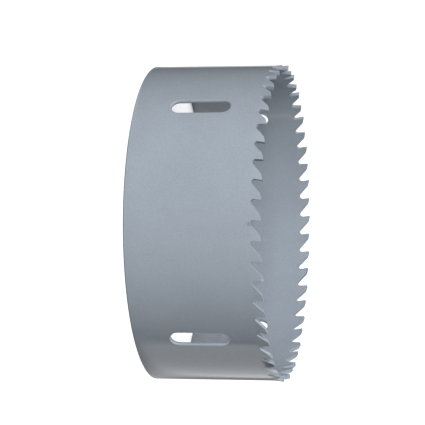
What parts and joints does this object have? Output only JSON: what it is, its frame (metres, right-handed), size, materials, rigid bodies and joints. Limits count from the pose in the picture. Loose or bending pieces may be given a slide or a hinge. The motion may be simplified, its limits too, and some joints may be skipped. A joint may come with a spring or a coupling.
{
  "type": "hole saw",
  "caption": "Bi-metal hole saw: a steel cup with set, forward-raked teeth round its open rim, pry slots in its wall, and a thick back plate with an arbor thread and drive pin holes.",
  "frame": {"origin": "centre of the back face, on the cup's axis", "axes": "+Z along the axis, from the back plate to the teeth; +X and +Y each through a slot"},
  "size_m": [0.1019, 0.1017, 0.0423],
  "materials": {
    "lacquer": "semi-gloss blue-grey lacquer over steel",
    "tip_lacquer": "the same lacquer over high speed steel, thin at the cutting edges",
    "plate_steel": "blue-grey lacquer at the back, pale inside the cup, bare steel in the thread"
  },
  "bodies": {
    "root": {"cup_wall": "lacquer", "tooth_tips": "tip_lacquer", "back_plate": "plate_steel"}
  },
  "joints": []
}
